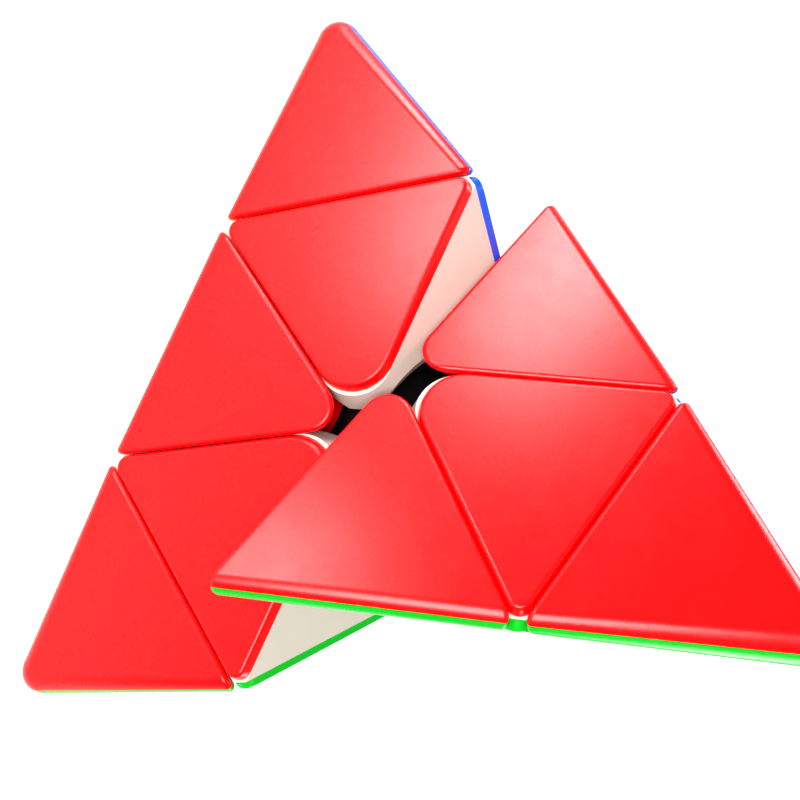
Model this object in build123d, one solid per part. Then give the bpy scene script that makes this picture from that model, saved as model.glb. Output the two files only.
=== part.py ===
"""Pyramid twisty puzzle, corner layer part-turned.

Frame: millimetres, +Z up along the axis of the turned layer, origin at the point where the four
turning axes meet. The puzzle lies on its yellow face. Corners: top, left, right (both towards -Y)
and back. A level of 0 is the face opposite a corner, a level of 3 is the corner itself, so the
layers part at level 1 and the tips part near level 2.
"""
import os
from math import cos, radians, sin, sqrt, tan

from build123d import *

# driving dimensions
SMALL_TRIANGLE = 84.0       # side of one of the nine triangles of a face
TIP_LEVEL = 1.96            # level at which a tip parts from its corner piece
LAYER_LEVEL = 1.0           # level at which a layer parts from the rest
TURN = -25.5                # rest angle of the top layer about +Z, degrees
HALF_GAP = 0.2              # from a parting plane to the plastic on either side
EDGE_ROUND = 4.6            # rounding of the six outer edges, grows along a tip
APEX_ROUND = 7.2            # ball at each of the four corners
RIM_ROUND = 1.25            # rounding of every tile rim
SKIN = 3.2                  # thickness of the coloured caps
WALL = 3.0                  # wall of the hollow mouldings
SEAM = 0.05                 # from a colour seam to the plastic on either side
CENTRE_ROUND_CORNER = 12.0  # corner of a corner-piece cap at the centre of a face
CENTRE_ROUND_EDGE = 8.0     # inner rounding of an edge piece
SMALL_ROUND = 3.0           # other corners of the corner-piece caps
SHELL_ROUND = 11.0          # corner of a corner-piece shell at the centre of a face
DISH_RADIUS = 43.0          # dished rim of the hollow in a corner piece, at its cut walls
DRAFT = 19.4712             # lean of the cut walls away from square, degrees

RECESS_RADIUS = 41.4        # hollow sphere inside, in which the feet slide
FOOT_CLEARANCE = 0.5
FOOT_ANGLE = 19.5           # half-angle of an edge piece's foot about its own axis
FOOT_INNER = 30.2
BALL_RADIUS = 28.5
ARM_RADIUS = 11.0
ARM_END = 31.0              # seat of a corner piece on its arm
RUNNING_FIT = 0.05
SEAT_GAP = 0.3
SPIGOT_RADIUS = 5.0
SPIGOT_END = 45.0
HUB_RADIUS = 13.0
WEB_END = 46.0              # seat of the spring in a corner piece
WELL_RADIUS = 9.5
PLUG_FLANGE = 10.9
PLUG_DEPTH = 9.0
POST_RADIUS = 6.0
POST_RISE = 10.0            # tip post above its corner piece
TIP_WEB = 10.4              # seat of the spring above the foot of a tip
TIP_WELL = 9.0
TIP_HUB = 11.5
TIP_HUB_HEIGHT = 27.0

SCREW_RADIUS = 2.4
SCREW_HOLE = 2.5
HEAD_RADIUS = 4.8
HEAD_HEIGHT = 3.4
DRIVE_WIDTH = 1.2
DRIVE_DEPTH = 2.0
HEAD_CHAMFER = 0.5
WASHER_THICK = 1.4
SPRING_WIRE = 0.8
AXIS_SPRING = (6.8, 3.3, 13.2)  # coil radius, pitch and height of the centre line
TIP_SPRING = (7.4, 2.9, 8.7)

EDGE_LENGTH = 3 * SMALL_TRIANGLE
HEIGHT = EDGE_LENGTH * sqrt(2 / 3)
BASE = HEIGHT / 4
BIG = 4 * EDGE_LENGTH
EDGE_FOOT = 0.9             # rounding seen square to a tip's axis, over that of its edges
EDGE_HEAD = 0.895           # the same, next to the ball
NOSE = 3.6                  # depth of the solid nose of a tip, over the ball's radius

AXES = {
    "top": Vector(0, 0, 1),
    "left": Vector(-sqrt(2 / 3), -sqrt(2) / 3, -1 / 3),
    "right": Vector(sqrt(2 / 3), -sqrt(2) / 3, -1 / 3),
    "back": Vector(0, 2 * sqrt(2) / 3, -1 / 3),
}
# turn that carries the left corner to each corner, about an axis, in degrees
CARRY = {
    "left": (Axis.Z, 0),
    "right": (Axis.Z, 120),
    "back": (Axis.Z, 240),
    "top": (Axis((0, 0, 0), AXES["back"]), 120),
}
COLOUR_OPPOSITE = {"top": "yellow", "left": "green", "right": "blue", "back": "red"}
PAIRS = [("left", "right"), ("left", "back"), ("right", "back"),
         ("top", "left"), ("top", "right"), ("top", "back")]


def reach(level):
    """Distance along a turning axis from the origin to a level."""
    return (level / 3 - 0.25) * HEIGHT


def axis_plane(corner):
    """Plane through the origin with its normal along a corner's axis."""
    return Plane(origin=(0, 0, 0), z_dir=AXES[corner])


def slab(corner, low, high=BIG):
    """Everything between two distances along a corner's axis."""
    block = Box(BIG, BIG, high - low, align=(Align.CENTER, Align.CENTER, Align.MIN))
    return axis_plane(corner) * Pos(0, 0, low) * block


def rod(corner, radius, low, high):
    """Round bar along a corner's axis."""
    bar = Cylinder(radius, high - low, align=(Align.CENTER, Align.CENTER, Align.MIN))
    return axis_plane(corner) * Pos(0, 0, low) * bar


def nearer(face, other, back_off=SEAM):
    """Everything closer to one outer face than to another, named by the corners opposite them."""
    normal = (AXES[other] - AXES[face]).normalized()
    block = Box(BIG, BIG, BIG, align=(Align.CENTER, Align.CENTER, Align.MIN))
    return Plane(origin=normal * back_off, z_dir=normal) * block


def common(solids):
    """Overlap of a list of solids."""
    result = solids[0]
    for solid in solids[1:]:
        result = result & solid
    return result


def others(*corners):
    """The corners that are not named."""
    return [corner for corner in AXES if corner not in corners]


def along(corner, point):
    """Distance of a point along a corner's axis."""
    return AXES[corner].dot(point)


# ---------------------------------------------------------------- tips

def tip_section(corner, drop, inner, radius):
    """Rounded triangle square to a tip's axis, by its distance below the sharp corner, the radius
    of its inscribed circle and the rounding of its corners."""
    toward = AXES[others(corner)[0]] - AXES[corner] * along(corner, AXES[others(corner)[0]])
    plane = Plane(origin=AXES[corner] * (reach(3) - drop), x_dir=toward, z_dir=AXES[corner])
    points = [(2 * inner * cos(radians(angle)), 2 * inner * sin(radians(angle)))
              for angle in (0, 120, 240)]
    return plane * rounded_triangle(points, [radius] * 3)


def tip_envelope(corner):
    """Outside of a tip: a small pyramid whose edge rounding grows towards the ball at its corner,
    with a finer rounding at its foot."""
    low = reach(TIP_LEVEL) + HALF_GAP
    lean = sin(radians(DRAFT))
    bottom = reach(3) - low
    shoulder = (3 - lean) * APEX_ROUND
    neck = (3 - sqrt(lean)) * APEX_ROUND
    ring = APEX_ROUND * sqrt(1 - lean)
    taper = tan(radians(DRAFT))
    sections = [tip_section(corner, bottom, bottom * taper, EDGE_FOOT * EDGE_ROUND),
                tip_section(corner, shoulder, shoulder * taper, EDGE_HEAD * APEX_ROUND),
                tip_section(corner, neck, ring, ring - SEAM)]
    ball = Pos(*(AXES[corner] * (reach(3) - 3 * APEX_ROUND))) * Sphere(APEX_ROUND - SEAM)
    pyramid = loft(sections, ruled=True) + ball
    rim = pyramid.edges().filter_by(lambda edge: along(corner, edge.center()) < low + 0.01)
    return fillet(rim, RIM_ROUND)


def tip_cap(envelope, corner, face):
    """Cap of a tip on one outer face, mitred towards the next faces and solid at the corner."""
    cuts = [nearer(face, other) for other in others(corner, face)]
    zone = slab(face, -BASE - 1, -BASE + SKIN) + slab(corner, reach(3) - NOSE * APEX_ROUND)
    return common([envelope, zone] + cuts)


def tip_body(corner):
    """Foot plate, hub and ribs that carry the three caps of a tip."""
    low = reach(TIP_LEVEL) + HALF_GAP
    inside = common([slab(corner, low, reach(3) - NOSE * APEX_ROUND)]
                    + [slab(other, -BASE + SKIN) for other in others(corner)])
    frame = rod(corner, EDGE_LENGTH, low, low + WALL)
    frame += rod(corner, TIP_HUB, low, low + TIP_HUB_HEIGHT)
    faces = others(corner)
    for first, second in ((0, 1), (1, 2), (0, 2)):
        normal = (AXES[faces[first]] - AXES[faces[second]]).normalized()
        frame += Plane(origin=(0, 0, 0), z_dir=normal) * Box(BIG, BIG, WALL)
    body = inside & frame
    body -= rod(corner, POST_RADIUS + RUNNING_FIT, low - 1, low + TIP_WEB + 1)
    body -= rod(corner, TIP_WELL, low + TIP_WEB, low + TIP_HUB_HEIGHT + 1)
    return body


# ---------------------------------------------------------------- corner pieces

def face_plane(face, corner):
    """Plane of an outer face, centred on the axis opposite, with +Y towards a corner."""
    normal = AXES[face] * -1
    across = AXES[corner] - normal * normal.dot(AXES[corner])
    return Plane(origin=normal * BASE, x_dir=across.cross(normal), z_dir=normal)


def rounded_triangle(points, radii):
    """Face bounded by a triangle whose corners have their own radii."""
    count = len(points)
    starts = []
    ends = []
    middles = []
    for index in range(count):
        here = Vector(*points[index])
        to_last = (Vector(*points[index - 1]) - here).normalized()
        to_next = (Vector(*points[(index + 1) % count]) - here).normalized()
        inward = (to_last + to_next).normalized()
        setback = radii[index] * sqrt(3)
        starts.append(here + to_last * setback)
        ends.append(here + to_next * setback)
        middles.append(here + inward * radii[index])
    pieces = []
    for index in range(count):
        pieces.append(ThreePointArc(starts[index], middles[index], ends[index]))
        pieces.append(Line(ends[index], starts[(index + 1) % count]))
    return make_face(Curve() + pieces)


def corner_cap(corner, face):
    """Cap of a corner piece: a rounded triangle that widens inwards and points at the face centre."""
    tall = (TIP_LEVEL - LAYER_LEVEL) * EDGE_LENGTH * sqrt(3) / 6
    inset = HALF_GAP / cos(radians(DRAFT))
    point = (0, 2 * inset)
    top = tall - inset
    half = (top - point[1]) / sqrt(3)
    triangle = rounded_triangle([point, (half, top), (-half, top)],
                                [CENTRE_ROUND_CORNER, SMALL_ROUND, SMALL_ROUND])
    plate = extrude(triangle, amount=-SKIN, taper=-DRAFT)
    rim = plate.edges().filter_by(lambda edge: edge.center().Z > -0.01)
    plate = fillet(rim, RIM_ROUND)
    placed = face_plane(face, corner) * plate
    return common([placed] + [nearer(face, other) for other in others(corner, face)])


def centre_column(corner, face, back_off, radius):
    """Column under a face that widens inwards like the cut walls, rounded at the face centre."""
    inset = back_off / cos(radians(DRAFT))
    top = SMALL_TRIANGLE
    half = (top - 2 * inset) / sqrt(3)
    outline = rounded_triangle([(0, 2 * inset), (half, top), (-half, top)],
                               [radius, SMALL_ROUND, SMALL_ROUND])
    deep = BASE + reach(LAYER_LEVEL)
    return face_plane(face, corner) * extrude(outline, amount=-deep, taper=-DRAFT)


def corner_shell(corner):
    """Three-sided box behind the caps of a corner piece, hollowed by the sphere inside."""
    low = reach(LAYER_LEVEL) + HALF_GAP
    high = reach(TIP_LEVEL) - HALF_GAP
    side = reach(LAYER_LEVEL) - HALF_GAP
    outside = [slab(corner, low, high)]
    hollow = [slab(corner, low + WALL, high - WALL)]
    for other in others(corner):
        outside.append(slab(other, -BASE + SKIN, side))
        outside.append(centre_column(corner, other, HALF_GAP / 2, SHELL_ROUND))
        hollow.append(slab(other, -BIG, side - WALL))
        hollow.append(centre_column(corner, other, WALL, SHELL_ROUND - WALL))
    return common(outside) - (common(hollow) - Sphere(RECESS_RADIUS + WALL))


def dish(corner, plane, depth):
    """Cone that dishes the rim of the inner hollow, from a cut wall inwards."""
    bottom = sqrt(RECESS_RADIUS ** 2 - (plane + depth) ** 2)
    cone = Cone(DISH_RADIUS, bottom, abs(depth), align=(Align.CENTER, Align.CENTER, Align.MIN))
    if depth < 0:
        cone = Rot(180, 0, 0) * cone
    return axis_plane(corner) * Pos(0, 0, plane) * cone


def corner_body(corner):
    """Corner piece without its caps: shell, and a hub with a bore, a spring seat and a well."""
    high = reach(TIP_LEVEL) - HALF_GAP
    seat = ARM_END + SEAT_GAP
    body = corner_shell(corner) - Sphere(RECESS_RADIUS)
    body -= dish(corner, reach(LAYER_LEVEL) + HALF_GAP, WALL)
    for other in others(corner):
        body -= dish(other, reach(LAYER_LEVEL) - HALF_GAP, -WALL)
    body += rod(corner, HUB_RADIUS, seat, high)
    body -= rod(corner, SPIGOT_RADIUS + RUNNING_FIT, seat - 1, WEB_END + 1)
    body -= rod(corner, WELL_RADIUS, WEB_END, high + 1)
    return body - rod(corner, PLUG_FLANGE + RUNNING_FIT, high - WALL, high + 1)


def tip_post(corner):
    """Plug that closes the well of a corner piece and carries the pivot of its tip."""
    high = reach(TIP_LEVEL) - HALF_GAP
    post = rod(corner, PLUG_FLANGE, high - WALL, high)
    post += rod(corner, WELL_RADIUS - RUNNING_FIT, high - PLUG_DEPTH, high)
    post += rod(corner, POST_RADIUS, high, high + POST_RISE)
    return post - rod(corner, SCREW_HOLE, high - PLUG_DEPTH - 1, high + POST_RISE + 1)


# ---------------------------------------------------------------- edge pieces

def edge_envelope(first, second):
    """Outside of an edge piece: a wedge, rounded outside, inside and finely along every rim."""
    low = reach(LAYER_LEVEL) + HALF_GAP
    faces = others(first, second)
    wedge = common([slab(first, low), slab(second, low)] + [slab(face, -BASE) for face in faces])
    middle = (AXES[first] + AXES[second]).normalized()
    wedge = fillet(wedge.edges().sort_by(lambda edge: middle.dot(edge.center()))[-1:], EDGE_ROUND)
    wedge = fillet(wedge.edges().sort_by(lambda edge: middle.dot(edge.center()))[:1],
                   CENTRE_ROUND_EDGE)
    rim = wedge.edges().filter_by(lambda edge: is_rim(edge, first, second))
    return fillet(rim, RIM_ROUND)


def is_rim(edge, first, second):
    """True unless the edge only marks where a flat runs into the outer or inner rounding."""
    if edge.geom_type != GeomType.LINE:
        return True
    faces = others(first, second)
    run = edge.tangent_at(0.5)
    outer_run = (AXES[first] - AXES[second]).normalized()
    inner_run = (AXES[faces[0]] - AXES[faces[1]]).normalized()
    return max(abs(run.dot(outer_run)), abs(run.dot(inner_run))) < 0.99


def foot(first, second):
    """Piece of a spherical shell that slides under the two corner pieces beside an edge piece."""
    middle = (AXES[first] + AXES[second]).normalized()
    outer = RECESS_RADIUS - FOOT_CLEARANCE
    ball = Sphere(outer) - Sphere(FOOT_INNER)
    spread = Cone(0, BIG * sin(radians(FOOT_ANGLE)), BIG * cos(radians(FOOT_ANGLE)),
                  align=(Align.CENTER, Align.CENTER, Align.MIN))
    return ball & (Plane(origin=(0, 0, 0), z_dir=middle) * spread)


def edge_solid(first, second):
    """Hollow edge piece with its foot, before it is split at the colour seam."""
    low = reach(LAYER_LEVEL) + HALF_GAP + WALL
    faces = others(first, second)
    hollow = common([slab(first, low), slab(second, low)]
                    + [slab(face, -BASE + SKIN) for face in faces])
    hollow -= Sphere(RECESS_RADIUS + WALL)
    return (edge_envelope(first, second) - Sphere(FOOT_INNER) - hollow) + foot(first, second)


def edge_half(whole, face, other):
    """Half of an edge piece that carries one face."""
    return whole & nearer(face, other)


# ---------------------------------------------------------------- core and fasteners

def core():
    """Ball with four arms; each arm ends in a seat and a spigot with a screw hole."""
    body = Sphere(BALL_RADIUS)
    for corner in AXES:
        body += rod(corner, ARM_RADIUS, 0, ARM_END)
        body += rod(corner, SPIGOT_RADIUS, 0, SPIGOT_END)
    for corner in AXES:
        body -= rod(corner, SCREW_HOLE, BALL_RADIUS / 2, SPIGOT_END + 1)
    return body


def screw(corner, tip_end, seat):
    """Cheese-head screw with a cross slot, from the end of its shank to the seat of its head."""
    body = rod(corner, SCREW_RADIUS, tip_end, seat) + rod(corner, HEAD_RADIUS, seat, seat + HEAD_HEIGHT)
    body = chamfered_head(body, corner, seat + HEAD_HEIGHT)
    slot = Box(1.5 * HEAD_RADIUS, DRIVE_WIDTH, 2 * DRIVE_DEPTH)
    cross = slot + Rot(0, 0, 90) * slot
    return body - axis_plane(corner) * Pos(0, 0, seat + HEAD_HEIGHT) * cross


def chamfered_head(body, corner, top):
    """The screw with the top rim of its head broken by a chamfer."""
    rim = body.edges().filter_by(lambda edge: along(corner, edge.center()) > top - 0.01)
    return chamfer(rim, HEAD_CHAMFER)


def washer(corner, seat, radius):
    """Flat washer under a screw head."""
    ring = rod(corner, radius, seat - WASHER_THICK, seat)
    return ring - rod(corner, SCREW_HOLE, seat - WASHER_THICK - 1, seat + 1)


def spring(corner, low, form):
    """Compression spring standing on a web; form is coil radius, pitch and centre-line height."""
    radius, pitch, height = form
    path = Helix(pitch=pitch, height=height, radius=radius)
    section = Plane(origin=path @ 0, z_dir=path % 0) * Circle(SPRING_WIRE)
    coil = sweep(section, path=path, is_frenet=True)
    return axis_plane(corner) * Pos(0, 0, low + SPRING_WIRE) * coil


def axis_fasteners(corner):
    """Screw, spring and washer that hold a corner piece on its arm."""
    low = WEB_END + SEAT_GAP
    seat = low + AXIS_SPRING[2] + 2 * SPRING_WIRE + WASHER_THICK
    return (screw(corner, BALL_RADIUS / 2 + 2, seat),
            spring(corner, low, AXIS_SPRING),
            washer(corner, seat, WELL_RADIUS - 1))


def tip_fasteners(corner):
    """Screw, spring and washer that hold a tip on its post."""
    low = reach(TIP_LEVEL) + HALF_GAP + TIP_WEB + SEAT_GAP
    seat = low + TIP_SPRING[2] + 2 * SPRING_WIRE + WASHER_THICK
    return (screw(corner, reach(TIP_LEVEL) - PLUG_DEPTH, seat),
            spring(corner, low, TIP_SPRING),
            washer(corner, seat, TIP_WELL - 0.4))


# ---------------------------------------------------------------- assembly

def corner_solids():
    """Solids of the left corner piece and its tip, by piece and by the face they carry."""
    solids = {("corner", None): corner_body("left"), ("tip", None): tip_body("left")}
    envelope = tip_envelope("left")
    for face in others("left"):
        solids["corner", face] = corner_cap("left", face)
        solids["tip", face] = tip_cap(envelope, "left", face)
    return solids


def corner_nodes(corner, solids):
    """Named solids of one corner piece and its tip, carried round from the left, unturned."""
    axis, angle = CARRY[corner]
    nodes = {}
    for (piece, face), solid in solids.items():
        placed = solid.rotate(axis, angle)
        if face is None:
            nodes[f"{piece}_{corner}_body"] = placed
        else:
            normal = AXES[face].rotate(axis, angle)
            arrived = max(AXES, key=lambda other: AXES[other].dot(normal))
            nodes[f"{piece}_{corner}_cap_{COLOUR_OPPOSITE[arrived]}"] = placed
    return nodes


def edge_nodes(first, second):
    """Named halves of one edge piece, unturned."""
    whole = edge_solid(first, second)
    nodes = {}
    face, other = others(first, second)
    nodes[f"edge_{first}_{second}_{COLOUR_OPPOSITE[face]}"] = edge_half(whole, face, other)
    nodes[f"edge_{first}_{second}_{COLOUR_OPPOSITE[other]}"] = edge_half(whole, other, face)
    return nodes


def turned(nodes):
    """The named solids turned with the top layer."""
    return {name: Rot(0, 0, TURN) * solid for name, solid in nodes.items()}


def group(solids):
    """Several separate solids kept as one node."""
    members = []
    for solid in solids:
        members += solid.solids()
    return Compound(children=members)


def fastener_nodes():
    """Named groups of fasteners; those of the top tip turn with the top layer."""
    axis_sets = [axis_fasteners(corner) for corner in AXES]
    lower = others("top")
    tip_sets = [tip_fasteners(corner) for corner in lower]
    nodes = {"lower_tip_posts": group([tip_post(corner) for corner in lower])}
    for index, kind in enumerate(("screws", "springs", "washers")):
        nodes[f"axis_{kind}"] = group([members[index] for members in axis_sets])
        nodes[f"lower_tip_{kind}"] = group([members[index] for members in tip_sets])
    top_set = tip_fasteners("top")
    loose = {"top_tip_post": tip_post("top"), "top_tip_screw": top_set[0],
             "top_tip_spring": top_set[1], "top_tip_washer": top_set[2]}
    return nodes | turned(loose)


def all_nodes():
    """Every named node of the puzzle."""
    nodes = {"core": core()}
    solids = corner_solids()
    for corner in AXES:
        made = corner_nodes(corner, solids)
        nodes |= turned(made) if corner == "top" else made
    for pair in PAIRS:
        made = edge_nodes(*pair)
        nodes |= turned(made) if "top" in pair else made
    return nodes | fastener_nodes()


def main():
    os.makedirs("parts", exist_ok=True)
    for name, solid in all_nodes().items():
        export_step(solid, f"parts/{name}.step")


if __name__ == "__main__":
    main()
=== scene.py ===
"""Looks of the pyramid twisty puzzle: satin mouldings, plated fasteners and a light table.

Lengths are metres. The puzzle lies on its yellow face, +Z runs along the axis of the turned layer
and the origin is where the four turning axes meet. Every CAD node keeps its shape and gets a
procedural material; the stage adds a floor, lamps and a camera.
"""
from math import cos, radians, sin

import bpy
from bpy.props import FloatProperty, FloatVectorProperty, PointerProperty
from mathutils import Matrix, Vector


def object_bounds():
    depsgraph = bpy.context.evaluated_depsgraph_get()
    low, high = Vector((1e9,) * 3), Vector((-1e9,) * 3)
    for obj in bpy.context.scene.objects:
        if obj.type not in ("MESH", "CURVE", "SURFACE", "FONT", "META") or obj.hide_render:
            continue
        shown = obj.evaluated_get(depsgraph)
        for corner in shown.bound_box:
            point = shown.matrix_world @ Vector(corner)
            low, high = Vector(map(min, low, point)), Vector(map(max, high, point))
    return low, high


bl_info = {
    "name": "Pyramid Twisty Puzzle",
    "version": (1, 0, 0),
    "blender": (4, 5, 0),
    "location": "View3D > Sidebar > Puzzle",
    "description": "Finishes and stages a tetrahedral twisty puzzle",
    "category": "Object",
}

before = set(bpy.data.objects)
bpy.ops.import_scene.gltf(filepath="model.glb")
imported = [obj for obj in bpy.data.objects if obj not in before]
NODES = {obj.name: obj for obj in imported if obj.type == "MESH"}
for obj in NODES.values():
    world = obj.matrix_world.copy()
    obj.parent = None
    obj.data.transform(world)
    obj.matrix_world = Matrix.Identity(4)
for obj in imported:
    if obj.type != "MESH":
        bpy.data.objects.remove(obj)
CAD_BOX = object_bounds()
FLOOR_LEVEL = CAD_BOX[0][2]
FACE_COLOURS = ("red", "green", "blue", "yellow")

# surface detail of the plastic, by size
CLOUD = 0.03            # drift of the pigment
PATCH = 0.008           # patches of a duller polish
WAVE = 0.006            # orange-peel waves
SCRATCH = 0.012         # length scale of the hair scratches
SCRATCH_DRAW = 14.0     # how far a scratch is drawn out along its direction
SCUFF = 0.004           # scuffs on the rubbed rims
RIM = 0.0008            # radius within which a bend counts as a rim

# floor glow falls off in front of the puzzle, so that the faces mirror a darker floor
GLOW_NEAR = -0.40
GLOW_FAR = -0.14
DIM_SHARE = 0.2         # share of the glow that stays in front

# lamps: name, place, size and power in watts
LAMPS = (
    ("front", (0.20, -1.05, 0.72), (0.70, 0.70), 27),
    ("overhead", (-0.50, 0.60, 1.30), (1.20, 1.20), 5),
    ("back left", (-0.95, 0.75, 0.55), (0.60, 0.60), 9),
    ("back right", (0.95, 0.75, 0.55), (0.60, 0.60), 9),
    ("bright strip", (-0.90, -0.42, 0.025), (0.46, 0.14), 6),
    ("soft strip", (-0.30, -0.76, 0.005), (0.34, 0.10), 3),
)


def colour_property(label, text, default):
    """Colour picker without transparency."""
    return FloatVectorProperty(name=label, description=text, subtype="COLOR", size=3,
                               min=0.0, max=1.0, default=default)


class PuzzleFinish(bpy.types.PropertyGroup):
    """Colours and surface of the mouldings and fasteners."""
    red: colour_property("Red", "Plastic of the red face", (0.78, 0.001, 0.002))
    green: colour_property("Green", "Plastic of the green face", (0.0, 0.34, 0.012))
    blue: colour_property("Blue", "Plastic of the blue face", (0.005, 0.07, 0.55))
    yellow: colour_property("Yellow", "Plastic of the yellow face", (0.92, 0.62, 0.005))
    # the body colour is pale plastic darkened and tinted reddish: painted shade and a painted red
    # reflection of the caps
    body: colour_property("Bodies", "Plastic behind the caps", (0.47, 0.41, 0.36))
    core: colour_property("Core", "Plastic of the core", (0.012, 0.012, 0.013))
    steel: colour_property("Steel", "Screws, washers and springs", (0.60, 0.60, 0.62))
    gloss: FloatProperty(name="Cap roughness", description="Roughness of the coloured plastic",
                         min=0.05, max=0.9, default=0.27, subtype="FACTOR")
    satin: FloatProperty(name="Body roughness", description="Roughness of the body plastic with painted shade",
                         min=0.05, max=0.9, default=0.34, subtype="FACTOR")
    matte: FloatProperty(name="Core roughness", description="Roughness of the core plastic",
                         min=0.05, max=0.9, default=0.45, subtype="FACTOR")
    grain: FloatProperty(name="Grain size", description="Spacing of the moulded grain",
                         min=0.0001, max=0.01, default=0.0009, unit="LENGTH")


class PuzzleStage(bpy.types.PropertyGroup):
    """Camera, floor and surroundings."""
    lens: FloatProperty(name="Lens", description="Focal length on a 36 mm sensor, in millimetres",
                        min=10, max=200, default=38.92)
    distance: FloatProperty(name="Distance", description="Camera to the origin",
                            min=0.05, max=5, default=0.29392, unit="LENGTH")
    azimuth: FloatProperty(name="Azimuth", description="Camera round +Z, from straight in front",
                           subtype="ANGLE", default=radians(-0.9905))
    elevation: FloatProperty(name="Elevation", description="Camera above the origin",
                             subtype="ANGLE", default=radians(37.2020))
    roll: FloatProperty(name="Roll", description="Turn of the camera about its line of sight",
                        subtype="ANGLE", default=radians(-113.11))
    aim: FloatVectorProperty(name="Aim", description="Point the camera looks at", size=3,
                             subtype="TRANSLATION", default=(-0.01423, -0.00610, -0.00675))
    glow: FloatProperty(name="Glow", description="Light that the floor gives off", min=0, max=5,
                        default=0.80)
    ambient: FloatProperty(name="Ambient", description="Light of the surroundings", min=0, max=5,
                           default=0.30)
    floor: FloatProperty(name="Floor", description="Width of the floor", min=0.5, max=50,
                         default=12.0, unit="LENGTH")


# ---------------------------------------------------------------- building blocks of materials

def new_material(name):
    """Material with an empty tree but for a shader and its output."""
    material = bpy.data.materials.new(name)
    material.use_nodes = True
    tree = material.node_tree
    tree.nodes.clear()
    output = tree.nodes.new("ShaderNodeOutputMaterial")
    shader = tree.nodes.new("ShaderNodeBsdfPrincipled")
    tree.links.new(shader.outputs["BSDF"], output.inputs["Surface"])
    return material, tree, shader


def object_place(tree):
    """Place on the object, in metres."""
    return tree.nodes.new("ShaderNodeTexCoord").outputs["Object"]


def add_noise(tree, place, size, detail=3.0, roughness=0.5):
    """Noise whose blobs are about one size across."""
    noise = tree.nodes.new("ShaderNodeTexNoise")
    noise.inputs["Scale"].default_value = 1 / size
    noise.inputs["Detail"].default_value = detail
    noise.inputs["Roughness"].default_value = roughness
    tree.links.new(place, noise.inputs["Vector"])
    return noise.outputs["Fac"]


def spread(tree, value, low, high, from_low=0.3, from_high=0.7):
    """Value between two limits carried to two others."""
    node = tree.nodes.new("ShaderNodeMapRange")
    node.inputs["From Min"].default_value = from_low
    node.inputs["From Max"].default_value = from_high
    node.inputs["To Min"].default_value = low
    node.inputs["To Max"].default_value = high
    tree.links.new(value, node.inputs["Value"])
    return node.outputs["Result"]


def combine(tree, operation, first, second):
    """Sum, product or other operation on two values."""
    node = tree.nodes.new("ShaderNodeMath")
    node.operation = operation
    tree.links.new(first, node.inputs[0])
    tree.links.new(second, node.inputs[1])
    return node.outputs["Value"]


def tint(tree, value, dark, light):
    """Colour between two shades."""
    node = tree.nodes.new("ShaderNodeMix")
    node.data_type = "RGBA"
    node.inputs["A"].default_value = (*dark, 1)
    node.inputs["B"].default_value = (*light, 1)
    tree.links.new(value, node.inputs["Factor"])
    return node.outputs["Result"]


def fade(tree, share, colour, shade):
    """Linked colour that fades towards a fixed shade."""
    node = tree.nodes.new("ShaderNodeMix")
    node.data_type = "RGBA"
    node.inputs["B"].default_value = (*shade, 1)
    tree.links.new(colour, node.inputs["A"])
    tree.links.new(share, node.inputs["Factor"])
    return node.outputs["Result"]


def bump(tree, height, distance, strength, below=None):
    """Bump from a height, over an earlier bump where there is one."""
    node = tree.nodes.new("ShaderNodeBump")
    node.inputs["Distance"].default_value = distance
    node.inputs["Strength"].default_value = strength
    tree.links.new(height, node.inputs["Height"])
    if below is not None:
        tree.links.new(below, node.inputs["Normal"])
    return node.outputs["Normal"]


# ---------------------------------------------------------------- materials

def rim_wear(tree, place):
    """Mask of the rubbed rims: where the surface bends sharply, broken up by scuffs."""
    geometry = tree.nodes.new("ShaderNodeNewGeometry")
    soft = tree.nodes.new("ShaderNodeBevel")
    soft.samples = 4
    soft.inputs["Radius"].default_value = RIM
    facing = tree.nodes.new("ShaderNodeVectorMath")
    facing.operation = "DOT_PRODUCT"
    tree.links.new(soft.outputs["Normal"], facing.inputs[0])
    tree.links.new(geometry.outputs["Normal"], facing.inputs[1])
    bend = spread(tree, facing.outputs["Value"], 1, 0, 0.90, 0.995)
    scuffs = spread(tree, add_noise(tree, place, SCUFF, detail=5, roughness=0.7), 0, 1, 0.45, 0.62)
    return combine(tree, "MULTIPLY", bend, scuffs)


def hair_scratches(tree, place):
    """Height of fine handling scratches: noise drawn out along one slanting direction."""
    stretch = tree.nodes.new("ShaderNodeMapping")
    stretch.inputs["Rotation"].default_value = (0.4, 0.7, 0.3)
    stretch.inputs["Scale"].default_value = (1.0, SCRATCH_DRAW, SCRATCH_DRAW)
    tree.links.new(place, stretch.inputs["Vector"])
    streaks = add_noise(tree, stretch.outputs["Vector"], SCRATCH, detail=4, roughness=0.6)
    return spread(tree, streaks, 0, 1, 0.60, 0.66)


def plastic_relief(tree, place, grain):
    """Normal of a moulded surface: waves, then grain, then scratches."""
    waves = bump(tree, add_noise(tree, place, WAVE, detail=1), 0.00002, 0.5)
    fine = bump(tree, add_noise(tree, place, grain, detail=2), 0.00001, 0.35, waves)
    return bump(tree, hair_scratches(tree, place), 0.000006, 0.5, fine)


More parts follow.
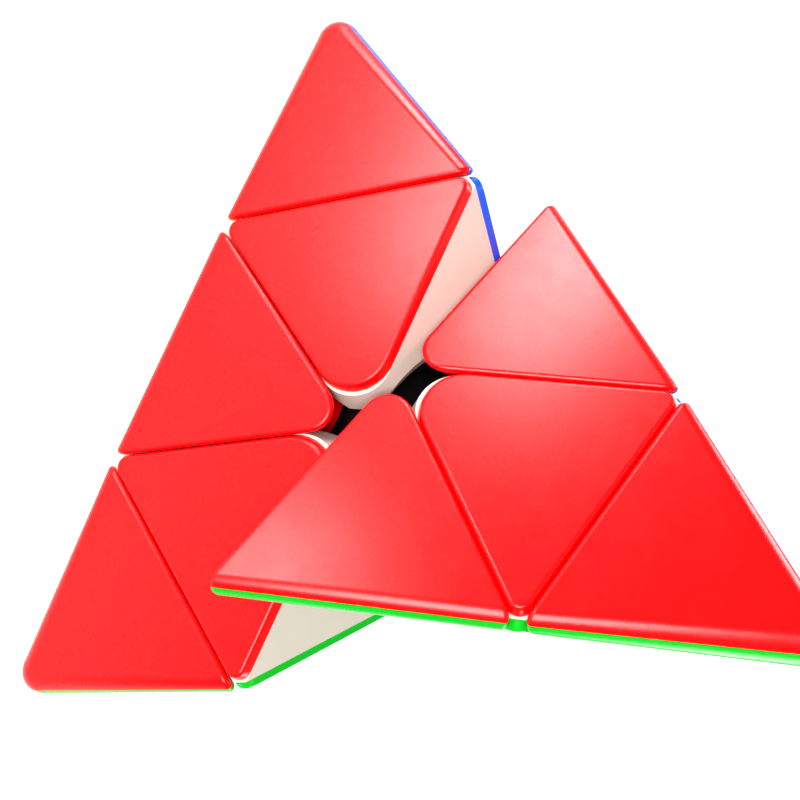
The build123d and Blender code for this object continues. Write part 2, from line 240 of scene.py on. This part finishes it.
def moulded_plastic(name, colour, roughness, grain):
    """Satin ABS: cloudy pigment, patchy polish, fine relief, and rims rubbed lighter and duller."""
    material, tree, shader = new_material(name)
    place = object_place(tree)
    wear = rim_wear(tree, place)
    shade = Vector(colour)
    worn = shade * 0.85 + Vector((0.08, 0.08, 0.08))
    cloud = spread(tree, add_noise(tree, place, CLOUD, detail=4), 0, 1)
    pigment = tint(tree, cloud, tuple(shade * 0.92), tuple(shade))
    rubbed = spread(tree, wear, 0, 0.35, 0, 1)
    tree.links.new(fade(tree, rubbed, pigment, tuple(worn)), shader.inputs["Base Color"])

    patches = add_noise(tree, place, PATCH, detail=6, roughness=0.65)
    polish = spread(tree, patches, roughness * 0.95, roughness * 1.07)
    duller = spread(tree, wear, 0, 0.12, 0, 1)
    tree.links.new(combine(tree, "ADD", polish, duller), shader.inputs["Roughness"])

    tree.links.new(plastic_relief(tree, place, grain), shader.inputs["Normal"])
    shader.inputs["IOR"].default_value = 1.5
    shader.inputs["Specular IOR Level"].default_value = 0.3
    return material


def plated_steel(name, colour):
    """Zinc-plated steel: patchy sheen and fine turned scratches."""
    material, tree, shader = new_material(name)
    place = object_place(tree)
    patch = add_noise(tree, place, 0.003, detail=5, roughness=0.6)
    shade = Vector(colour)
    sheen = tint(tree, spread(tree, patch, 0, 1), tuple(shade * 0.8), tuple(shade))
    tree.links.new(sheen, shader.inputs["Base Color"])
    tree.links.new(spread(tree, patch, 0.25, 0.42), shader.inputs["Roughness"])
    scratches = bump(tree, add_noise(tree, place, 0.0004, detail=3), 0.000008, 0.4)
    tree.links.new(scratches, shader.inputs["Normal"])
    shader.inputs["Metallic"].default_value = 1.0
    return material


def light_table(glow):
    """Pale floor that gives off light, less so in front of the puzzle."""
    material, tree, shader = new_material("light table")
    place = object_place(tree)
    mottle = add_noise(tree, place, 0.4, detail=3)
    paint = tint(tree, mottle, (0.42, 0.42, 0.42), (0.46, 0.46, 0.46))
    tree.links.new(paint, shader.inputs["Base Color"])
    parts = tree.nodes.new("ShaderNodeSeparateXYZ")
    tree.links.new(place, parts.inputs["Vector"])
    strength = spread(tree, parts.outputs["Y"], glow * DIM_SHARE, glow, GLOW_NEAR, GLOW_FAR)
    tree.links.new(strength, shader.inputs["Emission Strength"])
    shader.inputs["Emission Color"].default_value = (1, 1, 1, 1)
    shader.inputs["Roughness"].default_value = 0.7
    shader.inputs["Specular IOR Level"].default_value = 0.1
    return material


def finish_nodes(names, material):
    """Gives CAD nodes one material in every slot."""
    for name in names:
        mesh = NODES[name].data
        mesh.materials.clear()
        mesh.materials.append(material)


# ---------------------------------------------------------------- steps

class PUZZLE_OT_coloured(bpy.types.Operator):
    """Finish every coloured moulding in the plastic of its face"""
    bl_idname = "puzzle.coloured"
    bl_label = "Coloured mouldings"

    def execute(self, context):
        look = context.scene.puzzle_finish
        for colour in FACE_COLOURS:
            names = [name for name in NODES if name.endswith("_" + colour)]
            shade = getattr(look, colour)
            finish_nodes(names, moulded_plastic(colour + " plastic", shade, look.gloss, look.grain))
        return {"FINISHED"}


class PUZZLE_OT_bodies(bpy.types.Operator):
    """Finish the bodies and posts behind the caps, and the core"""
    bl_idname = "puzzle.bodies"
    bl_label = "Bodies and core"

    def execute(self, context):
        look = context.scene.puzzle_finish
        pale = [name for name in NODES if name.endswith("_body") or "post" in name]
        # the body colour carries painted shade and a painted red reflection of the caps over the
        # pale plastic
        finish_nodes(pale, moulded_plastic("body plastic with painted shade", look.body, look.satin, look.grain))
        finish_nodes(["core"], moulded_plastic("core plastic", look.core, look.matte, look.grain))
        return {"FINISHED"}


class PUZZLE_OT_fasteners(bpy.types.Operator):
    """Finish the screws, washers and springs"""
    bl_idname = "puzzle.fasteners"
    bl_label = "Fasteners"

    def execute(self, context):
        look = context.scene.puzzle_finish
        kinds = ("screw", "washer", "spring")
        names = [name for name in NODES if any(kind in name for kind in kinds)]
        finish_nodes(names, plated_steel("plated steel", look.steel))
        return {"FINISHED"}


def aimed(place, target, roll=0.0):
    """Matrix of a lamp or camera at a place, looking at a target, rolled about its sight line."""
    forward = (Vector(target) - Vector(place)).normalized()
    turn = forward.to_track_quat("-Z", "Y").to_matrix().to_4x4()
    return Matrix.Translation(place) @ Matrix.Rotation(roll, 4, forward) @ turn


def add_softbox(scene, name, place, size, power):
    """Rectangular area lamp that faces the puzzle."""
    lamp = bpy.data.lights.new(name, "AREA")
    lamp.shape = "RECTANGLE"
    lamp.size, lamp.size_y = size
    lamp.energy = power
    holder = bpy.data.objects.new(name, lamp)
    holder.matrix_world = aimed(place, (0, 0, 0))
    scene.collection.objects.link(holder)


class PUZZLE_OT_stage(bpy.types.Operator):
    """Make the floor, the lamps and the camera"""
    bl_idname = "puzzle.stage"
    bl_label = "Studio"

    def execute(self, context):
        stage = context.scene.puzzle_stage
        self.make_floor(context.scene, stage)
        self.make_lights(context.scene, stage)
        self.make_camera(context.scene, stage)
        return {"FINISHED"}

    def make_floor(self, scene, stage):
        """Square floor under the yellow face."""
        half = stage.floor / 2
        corners = [(-half, -half, FLOOR_LEVEL), (half, -half, FLOOR_LEVEL),
                   (half, half, FLOOR_LEVEL), (-half, half, FLOOR_LEVEL)]
        mesh = bpy.data.meshes.new("floor")
        mesh.from_pydata(corners, [], [(0, 1, 2, 3)])
        mesh.materials.append(light_table(stage.glow))
        floor = bpy.data.objects.new("floor", mesh)
        scene.collection.objects.link(floor)

    def make_lights(self, scene, stage):
        """Dim surroundings, soft lamps all round, and two low strips that the faces mirror."""
        world = bpy.data.worlds.new("studio")
        world.use_nodes = True
        background = world.node_tree.nodes["Background"]
        background.inputs["Color"].default_value = (1, 1, 1, 1)
        background.inputs["Strength"].default_value = stage.ambient
        scene.world = world
        for name, place, size, power in LAMPS:
            add_softbox(scene, name, place, size, power)

    def make_camera(self, scene, stage):
        """Camera rolled so that the left corner is uppermost, with a plain, contrasty tone."""
        camera = bpy.data.cameras.new("camera")
        camera.lens = stage.lens
        camera.sensor_width = 36
        camera.clip_start = 0.01
        level = stage.distance * cos(stage.elevation)
        place = (level * sin(stage.azimuth), -level * cos(stage.azimuth),
                 stage.distance * sin(stage.elevation))
        holder = bpy.data.objects.new("camera", camera)
        holder.matrix_world = aimed(place, stage.aim, stage.roll)
        scene.collection.objects.link(holder)
        scene.camera = holder
        scene.view_settings.view_transform = "Standard"
        scene.view_settings.look = "Medium High Contrast"


class PUZZLE_PT_panel(bpy.types.Panel):
    """Steps that finish the puzzle, in order, and their settings"""
    bl_label = "Twisty Puzzle"
    bl_idname = "PUZZLE_PT_panel"
    bl_space_type = "VIEW_3D"
    bl_region_type = "UI"
    bl_category = "Puzzle"

    def draw(self, context):
        for step in STEPS:
            self.layout.operator(step.bl_idname)
        for group in (context.scene.puzzle_finish, context.scene.puzzle_stage):
            box = self.layout.box()
            for name in group.bl_rna.properties.keys():
                if name not in ("rna_type", "name"):
                    box.prop(group, name)


STEPS = (PUZZLE_OT_coloured, PUZZLE_OT_bodies, PUZZLE_OT_fasteners, PUZZLE_OT_stage)
CLASSES = (PuzzleFinish, PuzzleStage, *STEPS, PUZZLE_PT_panel)


def register():
    for item in CLASSES:
        bpy.utils.register_class(item)
    bpy.types.Scene.puzzle_finish = PointerProperty(type=PuzzleFinish)
    bpy.types.Scene.puzzle_stage = PointerProperty(type=PuzzleStage)


def unregister():
    del bpy.types.Scene.puzzle_stage
    del bpy.types.Scene.puzzle_finish
    for item in reversed(CLASSES):
        bpy.utils.unregister_class(item)


def main():
    """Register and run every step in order."""
    register()
    bpy.ops.puzzle.coloured()
    bpy.ops.puzzle.bodies()
    bpy.ops.puzzle.fasteners()
    bpy.ops.puzzle.stage()


if __name__ == "__main__":
    main()
